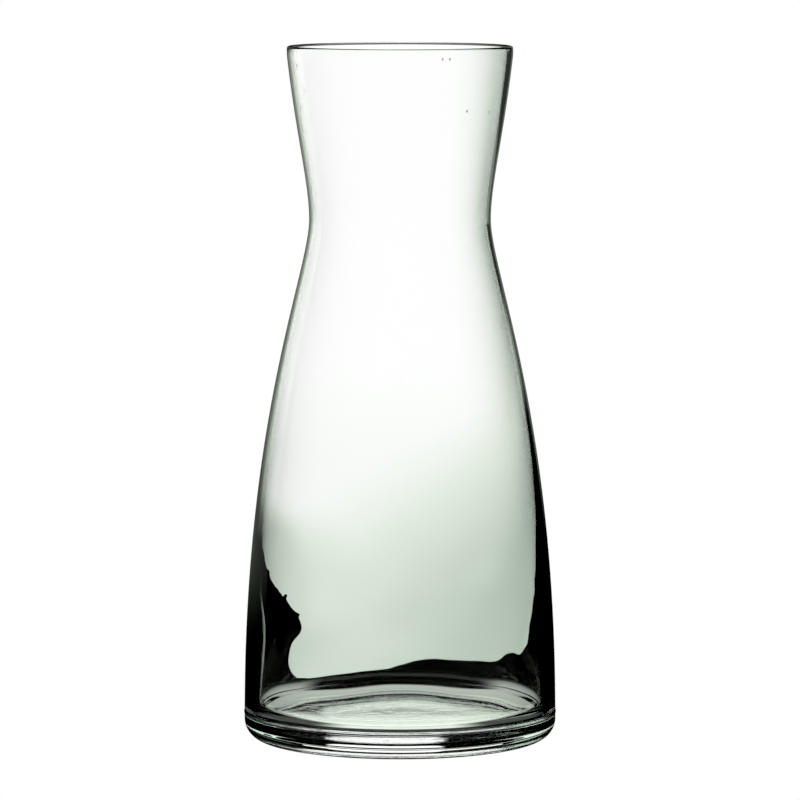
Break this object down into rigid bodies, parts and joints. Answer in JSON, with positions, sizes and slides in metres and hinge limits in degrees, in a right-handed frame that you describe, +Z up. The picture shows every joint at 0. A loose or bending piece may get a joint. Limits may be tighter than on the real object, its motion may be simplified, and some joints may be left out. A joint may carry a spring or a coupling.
{
  "type": "glass carafe",
  "caption": "Clear, faintly green glass carafe with a bell-shaped body, a narrow waist, a flared neck and a thick heavy base, for serving water or wine.",
  "frame": {"origin": "on the table, in the middle of the ring that the base stands on", "axes": "+Z up along the axis that the carafe is round about, from the base to the mouth; X and Y are level"},
  "size_m": [0.108, 0.108, 0.24],
  "materials": {
    "clear_glass": "clear, polished, with a faint green cast"
  },
  "bodies": {
    "root": {"base": "clear_glass", "bell": "clear_glass", "neck": "clear_glass", "lip": "clear_glass"}
  },
  "joints": []
}
